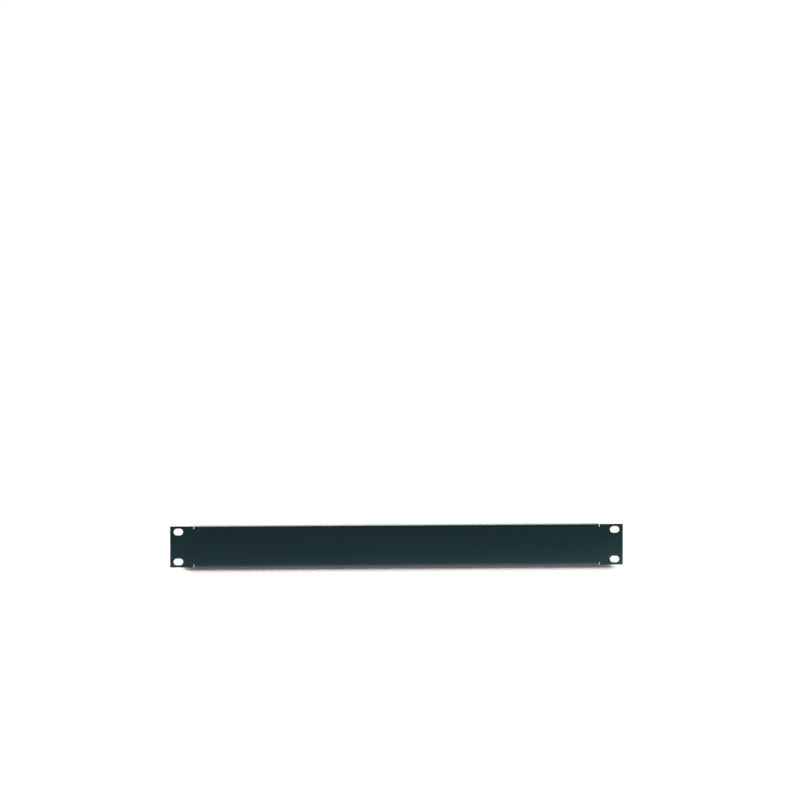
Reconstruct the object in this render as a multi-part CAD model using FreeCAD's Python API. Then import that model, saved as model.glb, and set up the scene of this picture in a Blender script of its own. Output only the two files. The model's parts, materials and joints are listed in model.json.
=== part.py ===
import FreeCAD, Part
import math
import os

from FreeCAD import Vector

# Rack blanking panel, one rack unit high, for a rack of 19 inches.
# It is one sheet of steel: a flat face with an ear at each end, and a flange
# folded back along the top and the bottom between the ears.
# X runs across the rack, Y runs into it and Z is up. The origin is the middle
# of the slot pattern, on the plane where the ears seat on the rack's rails.
# All sizes are in millimetres.

# The sizes that the standard for 19 inch racks gives: the width of a panel, the
# height of one unit, what a panel leaves free of it, and how far the centre of
# a slot is from the panel's end and from the edge of its unit.
panel_width = 482.6
rack_unit_height = 44.45
unit_count = 1
free_gap_height = 0.79
slot_end_distance = 8.75
slot_unit_distance = 6.35

# The ears, which are the flat ends of the face.
ear_width = 25.4
ear_corner_radius = 0.5

# The sheet and its folds.
sheet_thickness = 1.5
bend_inner_radius = 1.2
panel_depth = 12.7
flange_corner_radius = 1.5

# The notch that lets each fold end cleanly beside its ear.
relief_width = 0.5
relief_past_bend = 0.5
relief_mouth_radius = 0.4

# The slots for the rack screws.
slot_length = 10.0
slot_height = 7.0

# The small round that the punch rolls into the outer side of every cut edge.
# The inner side, where the punch comes through, stays crisp.
edge_roll_radius = 0.25

# What follows from the sizes above.
panel_height = unit_count * rack_unit_height - free_gap_height
half_width = panel_width / 2
half_height = panel_height / 2
half_flange = half_width - ear_width
bend_outer_radius = bend_inner_radius + sheet_thickness
rail_plane = 0.0
front_face = rail_plane - sheet_thickness
free_edge = front_face + panel_depth
bend_centre_y = rail_plane + bend_inner_radius
bend_line = half_height - bend_outer_radius
slot_x = half_width - slot_end_distance
slot_z = unit_count * rack_unit_height / 2 - slot_unit_distance

# A punch starts this far ahead of the face and ends as far behind the sheet.
punch_overrun = sheet_thickness
punch_start = front_face - punch_overrun
punch_stroke = sheet_thickness + 2 * punch_overrun

# Two places closer than this are the same place.
same_place = 1e-6

ACROSS = Vector(1, 0, 0)
INTO_RACK = Vector(0, 1, 0)
UP = Vector(0, 0, 1)
ENDS_AND_EDGES = [(side, level) for side in (-1, 1) for level in (-1, 1)]


def line(start, end):
    return Part.LineSegment(start, end).toShape()


def quarter_arc(centre, radius, first, second):
    """A quarter circle about centre, from the unit vector first round to the unit vector second."""
    middle = (first + second).normalize()
    ends = [centre + direction * radius for direction in (first, middle, second)]
    return Part.Arc(*ends).toShape()


def flat_plate():
    """The plate over the panel's whole front, with rounded corners and its rear on the rail plane."""
    corner_x = half_width - ear_corner_radius
    corner_z = half_height - ear_corner_radius

    def at(x, z):
        return Vector(x, front_face, z)

    outline = [
        line(at(-corner_x, -half_height), at(corner_x, -half_height)),
        quarter_arc(at(corner_x, -corner_z), ear_corner_radius, -UP, ACROSS),
        line(at(half_width, -corner_z), at(half_width, corner_z)),
        quarter_arc(at(corner_x, corner_z), ear_corner_radius, ACROSS, UP),
        line(at(corner_x, half_height), at(-corner_x, half_height)),
        quarter_arc(at(-corner_x, corner_z), ear_corner_radius, UP, -ACROSS),
        line(at(-half_width, corner_z), at(-half_width, -corner_z)),
        quarter_arc(at(-corner_x, -corner_z), ear_corner_radius, -ACROSS, -UP),
    ]
    return Part.Face(Part.Wire(outline)).extrude(INTO_RACK * sheet_thickness)


def folded_section():
    """The C-shaped section through the face and both flanges, at the left end of the flanges."""
    inner_height = half_height - sheet_thickness

    def at(y, z):
        return Vector(-half_flange, y, z)

    top_centre = at(bend_centre_y, bend_line)
    low_centre = at(bend_centre_y, -bend_line)
    outline = [
        line(at(front_face, -bend_line), at(front_face, bend_line)),
        quarter_arc(top_centre, bend_outer_radius, -INTO_RACK, UP),
        line(at(bend_centre_y, half_height), at(free_edge, half_height)),
        line(at(free_edge, half_height), at(free_edge, inner_height)),
        line(at(free_edge, inner_height), at(bend_centre_y, inner_height)),
        quarter_arc(top_centre, bend_inner_radius, UP, -INTO_RACK),
        line(at(rail_plane, bend_line), at(rail_plane, -bend_line)),
        quarter_arc(low_centre, bend_inner_radius, -INTO_RACK, -UP),
        line(at(bend_centre_y, -inner_height), at(free_edge, -inner_height)),
        line(at(free_edge, -inner_height), at(free_edge, -half_height)),
        line(at(free_edge, -half_height), at(bend_centre_y, -half_height)),
        quarter_arc(low_centre, bend_outer_radius, -UP, -INTO_RACK),
    ]
    return Part.Face(Part.Wire(outline))


def is_flange_corner(edge):
    """Whether the edge runs through the sheet at a corner of a flange's free edge."""
    on_free_edge = all(abs(vertex.Y - free_edge) < same_place for vertex in edge.Vertexes)
    runs_up = abs(edge.Vertexes[0].Z - edge.Vertexes[-1].Z) > same_place
    return on_free_edge and runs_up


def folded_channel():
    """The folded part of the sheet between the ears, with its free corners rounded."""
    channel = folded_section().extrude(ACROSS * (2 * half_flange))
    corners = [edge for edge in channel.Edges if is_flange_corner(edge)]
    return channel.makeFillet(flange_corner_radius, corners)


def fold_clearance(level):
    """The strip of the flat plate that the fold at this edge takes the place of."""
    strip = Part.makeBox(2 * half_flange, sheet_thickness, bend_outer_radius)
    low = bend_line if level > 0 else -half_height
    strip.translate(Vector(-half_flange, front_face, low))
    return strip


def relief_notch(side, level):
    """The round-ended notch between a flange's end and its ear, open at the sheet's edge."""
    radius = relief_width / 2
    centre_x = side * (half_flange + radius)
    round_end = bend_line - relief_past_bend + radius
    past_edge = half_height + punch_overrun

    notch = Part.makeBox(relief_width, punch_stroke, past_edge - round_end)
    notch.translate(Vector(centre_x - radius, punch_start, round_end))
    end = Part.makeCylinder(radius, punch_stroke, Vector(centre_x, punch_start, round_end), INTO_RACK)
    notch = notch.fuse(end).removeSplitter()
    if level < 0:
        notch = notch.mirror(Vector(), UP)
    return notch


def mounting_slot(side, level):
    """The round-ended slot for one rack screw, as the punch that cuts it."""
    radius = slot_height / 2
    half_straight = (slot_length - slot_height) / 2
    start = Vector(side * slot_x, punch_start, level * slot_z)

    middle = Part.makeBox(2 * half_straight, punch_stroke, slot_height)
    middle.translate(start - Vector(half_straight, 0, radius))
    ends = [
        Part.makeCylinder(radius, punch_stroke, start + ACROSS * (end * half_straight), INTO_RACK)
        for end in (-1, 1)
    ]
    return middle.fuse(ends).removeSplitter()


def is_relief_mouth(edge):
    """Whether the edge runs through the sheet where a notch meets the straight edge of its ear."""
    mouth_x = half_flange + relief_width
    return all(
        abs(abs(vertex.X) - mouth_x) < same_place and abs(abs(vertex.Z) - half_height) < same_place
        for vertex in edge.Vertexes
    )


def is_on_outer_side(point):
    """Whether the point is on the side of the sheet that faces out of the folds."""
    height = abs(point.z)
    in_flat_face = abs(point.x) > half_flange + same_place or height < bend_line
    if in_flat_face:
        below_skin = point.y - front_face
    elif point.y < bend_centre_y:
        below_skin = bend_outer_radius - math.hypot(point.y - bend_centre_y, height - bend_line)
    else:
        below_skin = half_height - height
    return abs(below_skin) < same_place


def is_outer_cut_edge(sheet, edge):
    """Whether the sheet's outer side meets its thickness at this edge, and not a smooth joint of faces."""
    faces = sheet.ancestorsOfType(edge, Part.Face)
    middle = edge.valueAt((edge.FirstParameter + edge.LastParameter) / 2)
    if len(faces) != 2 or not is_on_outer_side(middle):
        return False
    first, second = [face.normalAt(*face.Surface.parameter(middle)) for face in faces]
    return first.getAngle(second) > math.radians(45)


def blanking_panel():
    cutters = [fold_clearance(level) for level in (-1, 1)]
    for side, level in ENDS_AND_EDGES:
        cutters += [relief_notch(side, level), mounting_slot(side, level)]
    sheet = flat_plate().cut(cutters).fuse(folded_channel()).removeSplitter()

    relief_mouths = [edge for edge in sheet.Edges if is_relief_mouth(edge)]
    sheet = sheet.makeFillet(relief_mouth_radius, relief_mouths)
    outer_edges = [edge for edge in sheet.Edges if is_outer_cut_edge(sheet, edge)]
    return sheet.makeFillet(edge_roll_radius, outer_edges).Solids[0]


def main():
    os.makedirs("parts", exist_ok=True)
    panel = blanking_panel()
    panel.exportStep("parts/blanking_panel.step")
    box = panel.optimalBoundingBox(False, False)
    print("blanking_panel", "valid", panel.isValid(), "volume", round(panel.Volume, 1), "mm3")
    print("size", round(box.XLength, 3), round(box.YLength, 3), round(box.ZLength, 3))
    print("faces", len(panel.Faces), "edges", len(panel.Edges))


main()
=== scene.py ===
import json
import math

import bmesh
import bpy
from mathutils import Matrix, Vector


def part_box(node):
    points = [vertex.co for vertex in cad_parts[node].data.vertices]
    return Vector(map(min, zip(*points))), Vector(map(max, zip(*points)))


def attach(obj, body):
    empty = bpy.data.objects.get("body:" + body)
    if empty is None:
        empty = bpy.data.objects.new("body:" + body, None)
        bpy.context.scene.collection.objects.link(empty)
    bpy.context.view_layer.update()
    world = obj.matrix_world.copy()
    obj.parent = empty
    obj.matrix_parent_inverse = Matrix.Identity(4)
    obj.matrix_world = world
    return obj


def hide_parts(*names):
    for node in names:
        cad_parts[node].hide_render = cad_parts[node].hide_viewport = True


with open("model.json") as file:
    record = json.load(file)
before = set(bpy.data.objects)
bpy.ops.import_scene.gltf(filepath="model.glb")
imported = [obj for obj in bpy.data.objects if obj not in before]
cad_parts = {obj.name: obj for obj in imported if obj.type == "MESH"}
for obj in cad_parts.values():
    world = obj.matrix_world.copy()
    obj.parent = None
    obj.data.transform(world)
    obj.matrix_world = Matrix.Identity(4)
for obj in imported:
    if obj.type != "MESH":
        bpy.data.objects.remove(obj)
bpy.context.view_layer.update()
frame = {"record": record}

# Rack blanking panel: one sheet of steel, punched, folded along its top and
# bottom, and powder coated black. X runs across the rack, Y into it and Z up.

bl_info = {
    "name": "Rack Blanking Panel",
    "version": (1, 0, 0),
    "blender": (4, 5, 0),
    "location": "3D View > Sidebar > Rack Panel",
    "description": "A folded and powder coated blanking panel for a 19 inch rack, with its studio",
    "category": "Add Mesh",
}

MM = 0.001

# Two places closer than this, in metres, are the same place.
SAME_PLACE = 1e-6

# Faces that meet at a sharper angle than the first are a cut edge of the sheet,
# and those that meet at a flatter one than the second are shaded as one.
CUT_EDGE_ANGLE = math.radians(60)
SMOOTH_ANGLE = math.radians(40)

# A Mix node has inputs for each kind of data. These are the numbers of its two
# colour inputs and of its colour output.
COLOUR_A, COLOUR_B, COLOUR_OUT = 6, 7, 2

# Most of a noise texture's values lie between these two.
NOISE_LOW, NOISE_HIGH = 0.3, 0.7

# The width of a full frame camera's sensor, in millimetres.
SENSOR_WIDTH = 36.0

# What the frame says of the panel: its box and its slots.
SOLID = "blanking_panel"
LOW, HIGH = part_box(SOLID)
SLOTS = next(mount["dims"] for mount in frame["record"]["mounts"] if mount["name"] == "rack_slots")


def length(name, description, metres):
    """A property that holds a length."""
    return bpy.props.FloatProperty(
        name=name,
        description=description,
        default=metres,
        min=0.0,
        precision=5,
        unit="LENGTH",
        subtype="DISTANCE",
    )


def spot(name, description, metres):
    """A property that holds a place, as x, y and z."""
    return bpy.props.FloatVectorProperty(
        name=name, description=description, default=metres, size=3, unit="LENGTH", subtype="TRANSLATION"
    )


def share(name, description, default):
    """A property that holds a number from 0 to 1."""
    return bpy.props.FloatProperty(
        name=name, description=description, default=default, min=0.0, max=1.0, subtype="FACTOR"
    )


def brightness(name, description, default):
    """A property that holds how bright a light looks, where 1 is white."""
    return bpy.props.FloatProperty(name=name, description=description, default=default, min=0.0)


def angle(name, description, degrees):
    """A property that holds an angle."""
    return bpy.props.FloatProperty(
        name=name, description=description, default=math.radians(degrees), precision=4, subtype="ANGLE"
    )


def count(name, description, default):
    """A property that holds a whole number of steps."""
    return bpy.props.IntProperty(name=name, description=description, default=default, min=1)


def colour(name, description, hex_value):
    """A property that holds a colour, given as an sRGB hex value."""
    return bpy.props.FloatVectorProperty(
        name=name,
        description=description,
        default=linear(hex_value)[:3],
        size=3,
        min=0.0,
        max=1.0,
        subtype="COLOR",
    )


def linear(hex_value):
    """The linear colour, with alpha, of an sRGB hex value, by the curve that sRGB itself sets."""
    channels = [int(hex_value[i : i + 2], 16) / 255 for i in (1, 3, 5)]
    curve = [c / 12.92 if c <= 0.04045 else ((c + 0.055) / 1.055) ** 2.4 for c in channels]
    return (*curve, 1.0)


class RackPanelSheet(bpy.types.PropertyGroup):
    """The sizes of the folded sheet."""

    half_width: length("Half width", "From the middle to the end of an ear", HIGH.x)
    half_height: length("Half height", "From the middle to the outside of a flange", HIGH.z)
    front: bpy.props.FloatProperty(
        name="Front",
        description="Place of the front face, ahead of the rails",
        default=LOW.y,
        unit="LENGTH",
    )
    free_edge: length("Free edge", "Place of the flanges' free edges, behind the rails", HIGH.y)
    thickness: length("Sheet thickness", "Thickness of the steel sheet", 1.5 * MM)
    bend_radius: length("Bend radius", "Radius on the inside of each fold", 1.2 * MM)
    ear_width: length("Ear width", "Width of the flat ear at each end", 25.4 * MM)
    ear_corner: length("Ear corner", "Radius at the ears' corners", 0.5 * MM)
    flange_corner: length("Flange corner", "Radius at the corners of the flanges' free edges", 1.5 * MM)
    relief_width: length("Relief width", "Width of the notch beside each end of a fold", 0.5 * MM)
    relief_past_bend: length("Relief past bend", "How far a notch runs past the fold", 0.5 * MM)
    relief_mouth: length("Relief mouth", "Radius where a notch meets the edge of its ear", 0.4 * MM)
    slot_x: length("Slot place across", "From the middle to a slot", SLOTS["spacing_x_mm"] / 2 * MM)
    slot_z: length("Slot place up", "From the middle to a slot", SLOTS["spacing_y_mm"] / 2 * MM)
    slot_radius: length("Slot radius", "Radius of a slot's round ends", SLOTS["hole_r_mm"] * MM)
    slot_length: length("Slot length", "Length of a slot from end to end", SLOTS["slot_length_mm"] * MM)
    slot_margin: length("Slot margin", "Width of the ring of faces about a slot", 1.2 * MM)
    edge_roll: length("Edge roll", "Radius that the punch rolls into the outer edges", 0.25 * MM)
    edge_break: length("Edge break", "Radius that the coat leaves on the inner edges", 0.08 * MM)
    fold_steps: count("Fold steps", "Faces round a quarter turn of a fold", 16)
    corner_steps: count("Corner steps", "Faces round a corner", 8)
    slot_side_steps: count("Slot steps", "Faces round a quarter of a slot", 12)
    roll_steps: count("Roll steps", "Faces across the round of an outer edge", 4)
    break_steps: count("Break steps", "Faces across the round of an inner edge", 2)


class RackPanelCoat(bpy.types.PropertyGroup):
    """The colours and texture of the powder coat."""

    full_film: colour("Full film", "Colour where the coat is thickest", "#0f2125")
    thin_film: colour("Thin film", "Colour where the coat is thinner", "#112529")
    # A paler tone for the cut edges: partly the thinner coat, partly a painted highlight.
    rolled_edge: colour("Rolled edge", "Colour where the coat pulls thin over an edge", "#24373b")
    sheen: colour("Sheen", "Tint of the coat's reflections", "#b4dae6")
    refraction: bpy.props.FloatProperty(
        name="Refraction", description="Refractive index of the coat's resin", default=1.5, min=1.0
    )
    gloss: share("Gloss", "How strongly the coat mirrors, where 0.5 is a clear resin", 0.2)
    roughness: share("Roughness", "Roughness of the coat", 0.42)
    roughness_spread: share("Roughness spread", "How much that changes from grain to grain", 0.05)
    film_patch: length("Film patch", "Size of the patches of thicker and thinner film", 40 * MM)
    peel_size: length("Peel size", "Width of the orange peel's waves", 6 * MM)
    peel_height: length("Peel height", "Height of the orange peel's waves", 0.012 * MM)
    grain_size: length("Grain size", "Width of the fine texture's grains", 1.2 * MM)
    grain_height: length("Grain height", "Height of the fine texture's grains", 0.012 * MM)


class RackPanelStage(bpy.types.PropertyGroup):
    """The studio round the panel."""

    paper: colour("Paper", "Colour of the floor", "#f2f2f2")
    paper_give: length("Paper give", "How far the paper gives under the panel's weight", 0.05 * MM)
    paper_lift: brightness("Paper lift", "How much whiter the floor looks than it is lit", 0.04)
    fibre_size: length("Fibre size", "Width of the tufts of fibre in the paper", 2.5 * MM)
    fibre_height: length("Fibre height", "Height of those tufts", 0.02 * MM)
    floor_size: length("Floor size", "Length of the floor's sides", 40)
    room: brightness("Room", "Light that comes from all round", 0.12)
    room_tint: colour("Room tint", "Colour of the light that comes from all round", "#ffe8dc")
    room_white: brightness("Room white", "How bright the room itself looks, just past white", 1.03)
    sun: brightness("Sun", "How bright white paper looks that faces both soft suns", 1.6)
    sun_width: angle("Sun width", "Angle that each soft sun fills", 34)
    sun_lean: angle("Sun lean", "How far the suns lean to the back", 48)
    sun_turn: angle("Sun turn", "How far to each side the two suns stand", 14)
    softbox: brightness("Softbox", "Brightness of the softbox at the right", 4.0)
    softbox_place: spot("Softbox place", "Where the softbox hangs", (0.9, -0.7, 0.12))
    softbox_target: spot("Softbox target", "Where the softbox faces", (0.15, 0, 0))
    softbox_width: length("Softbox width", "Width of the softbox", 0.4)
    softbox_height: length("Softbox height", "Height of the softbox", 0.2)
    foot_left: brightness("Foot light left", "Brightness of the leftmost reflector on the floor", 2.4)
    foot_right: brightness("Foot light right", "Brightness of the rightmost reflector", 3.25)
    foot_tint: colour("Foot tint", "Colour of the reflectors at the panel's foot", "#fff1ea")
    foot_steps: count("Foot steps", "Reflectors in the row at the panel's foot", 5)
    foot_row: length("Foot row", "Length of the row of reflectors", 500 * MM)
    foot_middle: length("Foot middle", "From the panel's middle right to the row's", 10 * MM)
    foot_depth: length("Foot depth", "How deep the reflectors are", 36 * MM)
    foot_under: length("Foot under", "How far the reflectors reach in under the lower fold", 1.5 * MM)
    foot_lift: length("Foot lift", "From the level of the panel's foot up to the reflectors", 0.2 * MM)
    end_light: brightness("End lights", "Brightness of the small lights by the ears", 1.2)
    end_light_spread: angle("End light spread", "Angle that the end lights fan out over", 115)
    end_light_height: length("End light height", "From the panel's foot up to the end lights", 9 * MM)
    end_light_depth: length("End light depth", "How far the end lights reach out ahead", 75 * MM)
    end_light_gap: length("End light gap", "From the front face to the end lights", 1 * MM)
    end_light_stop: length("End light stop", "From the middle to the end lights' outer ends", 262 * MM)
    left_light_start: length("Left light start", "From the middle to its inner end", 227 * MM)
    right_light_start: length("Right light start", "From the middle to its inner end", 230 * MM)
    distance: length("Camera distance", "From the camera to the middle of the panel", 4.5)
    azimuth: angle("Azimuth", "How far round the camera stands", -4.109)
    elevation: angle("Elevation", "How far up the camera stands", 5.046)
    pitch: angle("Pitch", "How far down the camera looks", 3.075)
    pan: angle("Pan", "How far aside of the panel the camera looks", -0.0371)
    lens: bpy.props.FloatProperty(
        name="Lens", description="Focal length in millimetres", default=190.28, min=1.0
    )
    sight: length("Sight", "How far the camera sees", 100)


def middle(element):
    """The middle of a vertex, an edge or a face."""
    if isinstance(element, bmesh.types.BMVert):
        return element.co
    return sum((vertex.co for vertex in element.verts), Vector()) / len(element.verts)


def near(first, second):
    return abs(first - second) < SAME_PLACE


def choose(piece, kind, test):
    """Selects, in edit mode, the verts, edges or faces that pass the test, and nothing else."""
    modes = {"verts": "VERT", "edges": "EDGE", "faces": "FACE"}
    bpy.ops.mesh.select_mode(type=modes[kind])
    bpy.ops.mesh.select_all(action="DESELECT")
    mesh = bmesh.from_edit_mesh(piece.data)
    chosen = [element for element in getattr(mesh, kind) if test(element)]
    if not chosen:
        raise RuntimeError(f"no {kind} of {piece.name} are where this step expects them")
    for element in chosen:
        element.select_set(True)
    bmesh.update_edit_mesh(piece.data)


def cut_sheet(piece, axis, place, test):
    """Cuts the faces that pass the test along a plane across the axis."""
    choose(piece, "faces", test)
    origin, normal = Vector(), Vector()
    origin[axis] = place
    normal[axis] = 1.0
    bpy.ops.mesh.bisect(plane_co=origin, plane_no=normal, threshold=SAME_PLACE)


def remove_faces(piece, test):
    choose(piece, "faces", test)
    bpy.ops.mesh.delete(type="FACE")


def round_corner(piece, x, y, z, radius, steps):
    """Rounds the corner of the sheet's outline at that place."""
    corner = Vector((x, y, z))
    choose(piece, "verts", lambda vertex: (vertex.co - corner).length < SAME_PLACE)
    bpy.ops.mesh.bevel(offset=radius, segments=steps, affect="VERTICES", clamp_overlap=False)


def lay_out_quarter(piece, sheet):
    """Marks the flat sheet's upper right quarter out, and removes what the punch and shears take."""
    fold_end = sheet.half_width - sheet.ear_width
    notch_end = fold_end + sheet.relief_width
    bend_line = sheet.half_height - sheet.bend_radius - sheet.thickness
    notch_floor = bend_line - sheet.relief_past_bend + sheet.relief_width / 2

    cut_sheet(piece, 0, fold_end, lambda face: True)
    cut_sheet(piece, 0, notch_end, lambda face: middle(face).x > fold_end)
    cut_sheet(piece, 2, bend_line, lambda face: middle(face).x < fold_end)
    remove_faces(piece, lambda face: middle(face).x < fold_end and middle(face).z > bend_line)

    def in_notch_column(face):
        return fold_end < middle(face).x < notch_end

    cut_sheet(piece, 2, notch_floor, in_notch_column)
    remove_faces(piece, lambda face: in_notch_column(face) and middle(face).z > notch_floor)
    cut_sheet(piece, 2, notch_floor - sheet.relief_width, in_notch_column)
    return fold_end, notch_end, bend_line, notch_floor


def punch_notch_end(piece, sheet, fold_end, notch_end, notch_floor):
    """Swings a corner round the notch's end through half a turn, and makes the face below anew."""
    column_low = notch_floor - sheet.relief_width
    centre = Vector((fold_end + sheet.relief_width / 2, sheet.front, notch_floor))
    column_middle = (notch_floor + column_low) / 2

    def below_notch(face):
        place = middle(face)
        return fold_end < place.x < notch_end and near(place.z, column_middle)

    choose(piece, "faces", below_notch)
    bpy.ops.mesh.delete(type="ONLY_FACE")
    choose(piece, "edges", lambda edge: (middle(edge) - centre).length < SAME_PLACE)
    bpy.ops.mesh.delete(type="EDGE")
    start = centre - Vector((sheet.relief_width / 2, 0, 0))
    choose(piece, "verts", lambda vertex: (vertex.co - start).length < SAME_PLACE)
    bpy.ops.mesh.spin(steps=2 * sheet.corner_steps, angle=math.pi, center=centre, axis=(0, 1, 0))
    bpy.ops.mesh.select_all(action="SELECT")
    bpy.ops.mesh.remove_doubles(threshold=SAME_PLACE)

    def round_the_gap(edge):
        place = middle(edge)
        inside_x = fold_end - SAME_PLACE < place.x < notch_end + SAME_PLACE
        inside_z = column_low - SAME_PLACE < place.z < notch_floor
        return inside_x and inside_z

    choose(piece, "edges", round_the_gap)
    bpy.ops.mesh.edge_face_add()


def punch_slot(piece, sheet):
    """Cuts a box out of the ear and bridges it to the slot's outline, a circle pulled apart."""
    half_straight = sheet.slot_length / 2 - sheet.slot_radius
    reach_x = sheet.slot_length / 2 + sheet.slot_margin
    reach_z = sheet.slot_radius + sheet.slot_margin
    low_x, high_x = sheet.slot_x - reach_x, sheet.slot_x + reach_x
    low_z, high_z = sheet.slot_z - reach_z, sheet.slot_z + reach_z
    notch_end = sheet.half_width - sheet.ear_width + sheet.relief_width

    def in_ear(face):
        return middle(face).x > notch_end

    def beside_box(face):
        return low_x < middle(face).x < high_x

    cut_sheet(piece, 0, low_x, in_ear)
    cut_sheet(piece, 0, high_x, in_ear)
    cut_sheet(piece, 2, low_z, beside_box)
    cut_sheet(piece, 2, high_z, beside_box)
    remove_faces(piece, lambda face: beside_box(face) and low_z < middle(face).z < high_z)

    def round_the_box(edge):
        place = middle(edge)
        inside_x = low_x - SAME_PLACE < place.x < high_x + SAME_PLACE
        inside_z = low_z - SAME_PLACE < place.z < high_z + SAME_PLACE
        return inside_x and inside_z and not edge.is_manifold

    choose(piece, "edges", round_the_box)
    bpy.ops.mesh.subdivide(number_cuts=sheet.slot_side_steps - 1)

    # The circle stands half a step round, so that its top and bottom sides are
    # level and become the slot's straight sides, which lie just on the radius.
    # It is bridged from a place ahead of the sheet, where the two loops have a
    # clear direction to each other, and pushed back into the sheet's plane.
    sides = 4 * sheet.slot_side_steps
    half_step = math.pi / sides
    bpy.ops.mesh.primitive_circle_add(
        vertices=sides,
        radius=sheet.slot_radius / math.cos(half_step),
        location=(sheet.slot_x, sheet.front - sheet.slot_margin, sheet.slot_z),
        rotation=(math.pi / 2, half_step, 0),
    )
    for side in (-1, 1):
        choose(
            piece,
            "verts",
            lambda vertex: not vertex.link_faces and (vertex.co.x - sheet.slot_x) * side > 0,
        )
        bpy.ops.transform.translate(value=(side * half_straight, 0, 0))
    choose(piece, "edges", round_the_box)
    bpy.ops.mesh.bridge_edge_loops()
    choose(piece, "verts", lambda vertex: vertex.co.y < sheet.front - SAME_PLACE)
    bpy.ops.transform.translate(value=(0, sheet.slot_margin, 0))


def fold_flange(piece, sheet, fold_end, bend_line):
    """Swings the sheet's upper edge through a quarter turn and draws the flange out behind it."""
    bend_centre = sheet.front + sheet.thickness + sheet.bend_radius
    choose(piece, "edges", lambda edge: middle(edge).x < fold_end and near(middle(edge).z, bend_line))
    bpy.ops.mesh.spin(
        steps=sheet.fold_steps, angle=math.pi / 2, center=(0, bend_centre, bend_line), axis=(1, 0, 0)
    )
    flange = sheet.free_edge - bend_centre
    bpy.ops.mesh.extrude_region_move(TRANSFORM_OT_translate={"value": (0, flange, 0)})


def apply_modifier(piece, kind, **settings):
    """Adds a modifier with its settings and applies it."""
    modifier = piece.modifiers.new(kind.title(), kind)
    for name, value in settings.items():
        setattr(modifier, name, value)
    bpy.ops.object.modifier_apply(modifier=modifier.name)


def face_forwards(piece):
    """Turns all the sheet's faces to the side that the front shows."""
    bpy.ops.mesh.select_all(action="SELECT")
    bpy.ops.mesh.normals_make_consistent(inside=False)
    mesh = bmesh.from_edit_mesh(piece.data)
    front = max(mesh.faces, key=lambda face: face.calc_area())
    if front.normal.y > 0:
        bpy.ops.mesh.flip_normals()


def is_outer(place, sheet, bend_line, fold_end):
    """Whether a place is on the side of the sheet that faces out of the folds."""
    height = abs(place.z)
    bend_centre = sheet.front + sheet.thickness + sheet.bend_radius
    half_thickness = sheet.thickness / 2
    if abs(place.x) > fold_end + SAME_PLACE or height < bend_line:
        return place.y < sheet.front + half_thickness
    if place.y < bend_centre:
        radius = math.hypot(place.y - bend_centre, height - bend_line)
        return radius > sheet.bend_radius + half_thickness
    return height > sheet.half_height - half_thickness


def round_cut_edges(piece, sheet, bend_line, fold_end):
    """Rounds the outer cut edges as the punch rolls them, breaks the inner ones, and marks both for a
    pale tone: thin coat and painted highlight.
    """
    for outer, radius, steps in (
        (True, sheet.edge_roll, sheet.roll_steps),
        (False, sheet.edge_break, sheet.break_steps),
    ):
        choose(
            piece,
            "edges",
            lambda edge: edge.calc_face_angle(0) > CUT_EDGE_ANGLE
            and is_outer(middle(edge), sheet, bend_line, fold_end) == outer,
        )
        bpy.ops.mesh.bevel(
            offset=radius, segments=steps, affect="EDGES", clamp_overlap=False, loop_slide=False
        )
        mesh = bmesh.from_edit_mesh(piece.data)
        # The marked edges get a paler colour, which is partly thin coat and partly painted highlight.
        layers = mesh.verts.layers.float
        rolled = layers.get("rolled_edge") or layers.new("rolled_edge")
        for vertex in mesh.verts:
            if vertex.select and all(face.select for face in vertex.link_faces):
                vertex[rolled] = 1.0
        bmesh.update_edit_mesh(piece.data)


def build_sheet(sheet):
    """A quarter of the sheet is laid out, punched and folded, then mirrored and made solid."""
    bpy.ops.object.select_all(action="DESELECT")
    bpy.ops.mesh.primitive_plane_add(
        size=1.0,
        location=(sheet.half_width / 2, sheet.front, sheet.half_height / 2),
        rotation=(math.pi / 2, 0, 0),
    )
    piece = bpy.context.object
    piece.scale = (sheet.half_width, sheet.half_height, 1)
    bpy.ops.object.transform_apply(location=True, rotation=True, scale=True)
    piece.name = "folded_panel"
    piece.data.name = "folded_panel"

    bpy.ops.object.mode_set(mode="EDIT")
    fold_end, notch_end, bend_line, notch_floor = lay_out_quarter(piece, sheet)
    punch_notch_end(piece, sheet, fold_end, notch_end, notch_floor)
    punch_slot(piece, sheet)
    fold_flange(piece, sheet, fold_end, bend_line)
    steps = sheet.corner_steps
    round_corner(piece, sheet.half_width, sheet.front, sheet.half_height, sheet.ear_corner, steps)
    round_corner(piece, notch_end, sheet.front, sheet.half_height, sheet.relief_mouth, steps)
    round_corner(piece, fold_end, sheet.free_edge, sheet.half_height, sheet.flange_corner, steps)
    bpy.ops.object.mode_set(mode="OBJECT")

    apply_modifier(piece, "MIRROR", use_axis=(True, False, True), merge_threshold=SAME_PLACE)
    bpy.ops.object.mode_set(mode="EDIT")
    face_forwards(piece)
    bpy.ops.object.mode_set(mode="OBJECT")
    apply_modifier(
        piece,
        "SOLIDIFY",
        thickness=sheet.thickness,
        offset=-1.0,
        use_even_offset=True,
        use_quality_normals=True,
    )
    bpy.ops.object.mode_set(mode="EDIT")
    bpy.ops.mesh.select_all(action="SELECT")
    bpy.ops.mesh.normals_make_consistent(inside=False)
    round_cut_edges(piece, sheet, bend_line, fold_end)
    bpy.ops.object.mode_set(mode="OBJECT")

    bpy.ops.object.shade_smooth_by_angle(angle=SMOOTH_ANGLE)
    apply_modifier(piece, "WEIGHTED_NORMAL", mode="FACE_AREA", weight=100, keep_sharp=True)
    return piece


def add_node(tree, kind, inputs=None, **settings):
    """Adds a node with its settings, and sets or links each of its inputs."""
    node = tree.nodes.new(kind)
    for name, value in settings.items():
        setattr(node, name, value)
    for name, value in (inputs or {}).items():
        if isinstance(value, bpy.types.NodeSocket):
            tree.links.new(value, node.inputs[name])
        else:
            node.inputs[name].default_value = value
    return node


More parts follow.
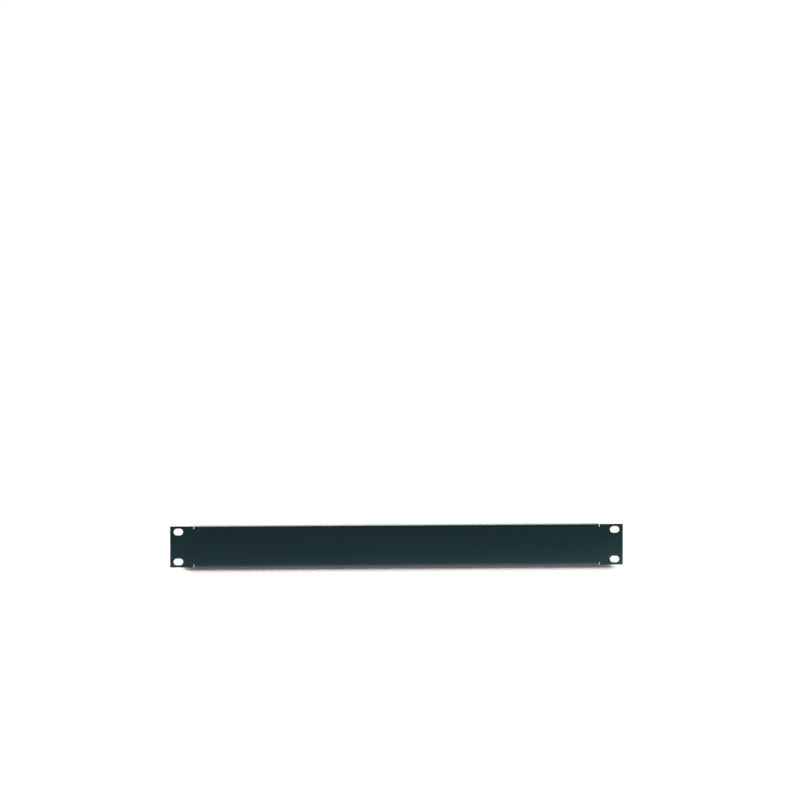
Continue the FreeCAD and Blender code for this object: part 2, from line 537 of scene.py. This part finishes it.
def empty_material(name):
    """A material with nodes on and only its output."""
    material = bpy.data.materials.new(name)
    material.use_nodes = True
    material.node_tree.nodes.clear()
    return material, material.node_tree, material.node_tree.nodes.new("ShaderNodeOutputMaterial")


def powder_coat(coat):
    """Black polyester powder coat of fine texture, sprayed dry on steel and cured in an oven.

    To the eye it is a cool black, half matt, with soft and broad reflections.
    """
    material, tree, output = empty_material("powder_coated_steel_fine_texture")
    place = add_node(tree, "ShaderNodeTexCoord").outputs["Object"]

    # The cured film is never quite even: patches about two fingers wide are a
    # little paler where it is thinner.
    film = add_node(
        tree, "ShaderNodeTexNoise", {"Vector": place, "Scale": 1 / coat.film_patch, "Detail": 2.0}
    ).outputs["Fac"]
    body = add_node(
        tree,
        "ShaderNodeMix",
        {"Factor": film, COLOUR_A: (*coat.full_film, 1.0), COLOUR_B: (*coat.thin_film, 1.0)},
        data_type="RGBA",
    ).outputs[COLOUR_OUT]
    # Over the rolled edges the powder pulls thin. The paler line drawn there is partly that thin coat
    # and partly a painted highlight, standing in for the light that the rounded edges catch.
    edge = add_node(tree, "ShaderNodeAttribute", attribute_name="rolled_edge").outputs["Fac"]
    tone = add_node(
        tree,
        "ShaderNodeMix",
        {"Factor": edge, COLOUR_A: body, COLOUR_B: (*coat.rolled_edge, 1.0)},
        data_type="RGBA",
    ).outputs[COLOUR_OUT]

    # Slow waves, the orange peel, bend the reflections. The fine texture is
    # drawn about three times as coarse as its real 0.4 mm, so that it shows.
    peel = add_node(
        tree, "ShaderNodeTexNoise", {"Vector": place, "Scale": 1 / coat.peel_size, "Detail": 1.0}
    ).outputs["Fac"]
    grain = add_node(
        tree, "ShaderNodeTexNoise", {"Vector": place, "Scale": 1 / coat.grain_size, "Detail": 2.0}
    ).outputs["Fac"]
    waves = add_node(
        tree, "ShaderNodeBump", {"Height": peel, "Distance": coat.peel_height, "Strength": 1.0}
    ).outputs["Normal"]
    tooth = add_node(
        tree,
        "ShaderNodeBump",
        {"Height": grain, "Distance": coat.grain_height, "Strength": 1.0, "Normal": waves},
    ).outputs["Normal"]
    rough = add_node(
        tree,
        "ShaderNodeMapRange",
        {
            "Value": grain,
            "From Min": NOISE_LOW,
            "From Max": NOISE_HIGH,
            "To Min": coat.roughness - coat.roughness_spread,
            "To Max": coat.roughness + coat.roughness_spread,
        },
    ).outputs["Result"]
    shader = add_node(
        tree,
        "ShaderNodeBsdfPrincipled",
        {
            "Base Color": tone,
            "Roughness": rough,
            "Normal": tooth,
            "Metallic": 0.0,
            "IOR": coat.refraction,
            "Specular IOR Level": coat.gloss,
            "Specular Tint": (*coat.sheen, 1.0),
        },
    )
    tree.links.new(shader.outputs["BSDF"], output.inputs["Surface"])
    return material


def seen_or_mirrored(tree):
    """1 for what is seen, straight, in a gloss or through glass, and 0 for light that only falls."""
    rays = add_node(tree, "ShaderNodeLightPath").outputs
    seen = rays["Is Camera Ray"]
    for kind in ("Is Glossy Ray", "Is Transmission Ray"):
        either = add_node(tree, "ShaderNodeMath", {0: seen, 1: rays[kind]}, operation="MAXIMUM")
        seen = either.outputs[0]
    return seen


def studio_paper(stage):
    """Matt white background paper, pressed and uncoated, lifted to white where it is looked at.

    To the eye it has no gloss at all, and its tufts of fibre hardly show.
    """
    material, tree, output = empty_material("matt_background_paper")
    place = add_node(tree, "ShaderNodeTexCoord").outputs["Object"]
    fibre = add_node(
        tree, "ShaderNodeTexNoise", {"Vector": place, "Scale": 1 / stage.fibre_size, "Detail": 2.0}
    ).outputs["Fac"]
    relief = add_node(
        tree, "ShaderNodeBump", {"Height": fibre, "Distance": stage.fibre_height}
    ).outputs["Normal"]
    paper = add_node(
        tree, "ShaderNodeBsdfDiffuse", {"Color": (*stage.paper, 1.0), "Normal": relief}
    ).outputs["BSDF"]
    lift = add_node(
        tree, "ShaderNodeMath", {0: seen_or_mirrored(tree), 1: stage.paper_lift}, operation="MULTIPLY"
    ).outputs[0]
    glow = add_node(tree, "ShaderNodeEmission", {"Strength": lift}).outputs["Emission"]
    both = add_node(tree, "ShaderNodeAddShader", {0: paper, 1: glow}).outputs["Shader"]
    tree.links.new(both, output.inputs["Surface"])
    return material


def lay_floor(stage):
    """The floor that the panel stands on."""
    bpy.ops.object.select_all(action="DESELECT")
    bpy.ops.mesh.primitive_plane_add(size=stage.floor_size, location=(0, 0, LOW.z + stage.paper_give))
    floor = bpy.context.object
    floor.name = "studio_floor"
    floor.data.materials.append(studio_paper(stage))


def light_room(stage):
    """A room that lights softly from all round and is white where it is looked at."""
    world = bpy.data.worlds.new("studio_room")
    world.use_nodes = True
    tree = world.node_tree
    tree.nodes.clear()
    soft = add_node(
        tree, "ShaderNodeBackground", {"Color": (*stage.room_tint, 1.0), "Strength": stage.room}
    ).outputs["Background"]
    # Just past white, so that the floor's far edge doesn't show against it.
    white = add_node(
        tree, "ShaderNodeBackground", {"Color": linear("#ffffff"), "Strength": stage.room_white}
    ).outputs["Background"]
    mixed = add_node(
        tree, "ShaderNodeMixShader", {0: seen_or_mirrored(tree), 1: soft, 2: white}
    ).outputs["Shader"]
    output = tree.nodes.new("ShaderNodeOutputWorld")
    tree.links.new(mixed, output.inputs["Surface"])
    bpy.context.scene.world = world


def hang_lamp(name, place, target, size, level, tint=(1.0, 1.0, 1.0)):
    """A soft rectangular lamp that the camera doesn't see, as bright as level, where 1 is white."""
    light = bpy.data.lights.new(name, "AREA")
    light.shape = "RECTANGLE"
    light.size, light.size_y = size
    light.color = tint
    light.energy = level * math.pi * size[0] * size[1]
    lamp = bpy.data.objects.new(name, light)
    lamp.location = place
    lamp.rotation_euler = (Vector(target) - Vector(place)).to_track_quat("-Z", "Y").to_euler()
    lamp.visible_camera = False
    bpy.context.scene.collection.objects.link(lamp)
    return lamp


def light_foot(stage):
    """A row of reflectors on the floor at the panel's foot, brighter towards the right."""
    width = stage.foot_row / stage.foot_steps
    rise = (stage.foot_right - stage.foot_left) / max(stage.foot_steps - 1, 1)
    y = LOW.y + stage.foot_under - stage.foot_depth / 2
    z = LOW.z + stage.foot_lift
    for step in range(stage.foot_steps):
        x = stage.foot_middle - stage.foot_row / 2 + (step + 0.5) * width
        level = stage.foot_left + rise * step
        size = (width, stage.foot_depth)
        name = f"foot_reflector_{step + 1}"
        hang_lamp(name, (x, y, z), (x, y, z + 1), size, level, stage.foot_tint)


def light_shadow_ends(stage):
    """Two small lamps face down ahead of the ears, so that the shadow stops short of them."""
    y = LOW.y - stage.end_light_gap - stage.end_light_depth / 2
    for name, side, start in (
        ("left_end_light", -1, stage.left_light_start),
        ("right_end_light", 1, stage.right_light_start),
    ):
        x = side * (start + stage.end_light_stop) / 2
        above, below = (x, y, LOW.z + stage.end_light_height), (x, y, LOW.z)
        size = (stage.end_light_stop - start, stage.end_light_depth)
        lamp = hang_lamp(name, above, below, size, stage.end_light)
        lamp.data.spread = stage.end_light_spread
        lamp.visible_glossy = False


def shine_sun(name, level, turn, stage):
    """A far, wide and even light, which comes from above and behind the panel."""
    light = bpy.data.lights.new(name, "SUN")
    light.angle = stage.sun_width
    light.energy = level * math.pi
    lamp = bpy.data.objects.new(name, light)
    lamp.rotation_euler = (-stage.sun_lean, 0, turn)
    bpy.context.scene.collection.objects.link(lamp)


def set_camera(stage):
    """The camera, far off with a long lens, a little above the panel and a little to its left."""
    camera = bpy.data.objects.new("studio_camera", bpy.data.cameras.new("studio_camera"))
    camera.data.sensor_width = SENSOR_WIDTH
    camera.data.lens = stage.lens
    camera.data.clip_end = stage.sight
    around, up = stage.azimuth, stage.elevation
    back = Vector((math.sin(around) * math.cos(up), -math.cos(around) * math.cos(up), math.sin(up)))
    camera.location = back * stage.distance
    camera.rotation_euler = (math.pi / 2 - stage.pitch, 0, around + stage.pan)
    bpy.context.scene.collection.objects.link(camera)
    bpy.context.scene.camera = camera


class RACKPANEL_OT_fold_panel(bpy.types.Operator):
    """Punch, fold and coat the blanking panel"""

    bl_idname = "rack_panel.fold_panel"
    bl_label = "Folded Panel"

    def execute(self, context):
        panel = build_sheet(context.scene.rack_panel_sheet)
        panel.data.materials.append(powder_coat(context.scene.rack_panel_coat))
        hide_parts(SOLID)
        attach(panel, "root")
        return {"FINISHED"}


class RACKPANEL_OT_set_stage(bpy.types.Operator):
    """Lay the floor, hang the lights and set the camera"""

    bl_idname = "rack_panel.set_stage"
    bl_label = "Studio Stage"

    def execute(self, context):
        stage = context.scene.rack_panel_stage
        lay_floor(stage)
        light_room(stage)
        shine_sun("back_left_sun", stage.sun / 2, stage.sun_turn, stage)
        shine_sun("back_right_sun", stage.sun / 2, -stage.sun_turn, stage)
        size = (stage.softbox_width, stage.softbox_height)
        hang_lamp("right_softbox", stage.softbox_place, stage.softbox_target, size, stage.softbox)
        light_foot(stage)
        light_shadow_ends(stage)
        set_camera(stage)
        context.scene.view_settings.view_transform = "Standard"
        return {"FINISHED"}


class RACKPANEL_PT_sidebar(bpy.types.Panel):
    """The panel's sizes, colours and steps"""

    bl_idname = "RACKPANEL_PT_sidebar"
    bl_label = "Rack Blanking Panel"
    bl_space_type = "VIEW_3D"
    bl_region_type = "UI"
    bl_category = "Rack Panel"

    def draw(self, context):
        for title, group, operator in (
            ("Sheet", "rack_panel_sheet", RACKPANEL_OT_fold_panel),
            ("Powder coat", "rack_panel_coat", None),
            ("Stage", "rack_panel_stage", RACKPANEL_OT_set_stage),
        ):
            box = self.layout.box()
            box.label(text=title)
            settings = getattr(context.scene, group)
            for name in settings.__annotations__:
                box.prop(settings, name)
            if operator:
                box.operator(operator.bl_idname)


GROUPS = {
    "rack_panel_sheet": RackPanelSheet,
    "rack_panel_coat": RackPanelCoat,
    "rack_panel_stage": RackPanelStage,
}
CLASSES = (*GROUPS.values(), RACKPANEL_OT_fold_panel, RACKPANEL_OT_set_stage, RACKPANEL_PT_sidebar)


def register():
    for cls in CLASSES:
        bpy.utils.register_class(cls)
    for name, group in GROUPS.items():
        setattr(bpy.types.Scene, name, bpy.props.PointerProperty(type=group))


def unregister():
    for name in GROUPS:
        delattr(bpy.types.Scene, name)
    for cls in reversed(CLASSES):
        bpy.utils.unregister_class(cls)


def main():
    register()
    bpy.ops.rack_panel.fold_panel()
    bpy.ops.rack_panel.set_stage()


if __name__ == "__main__":
    main()
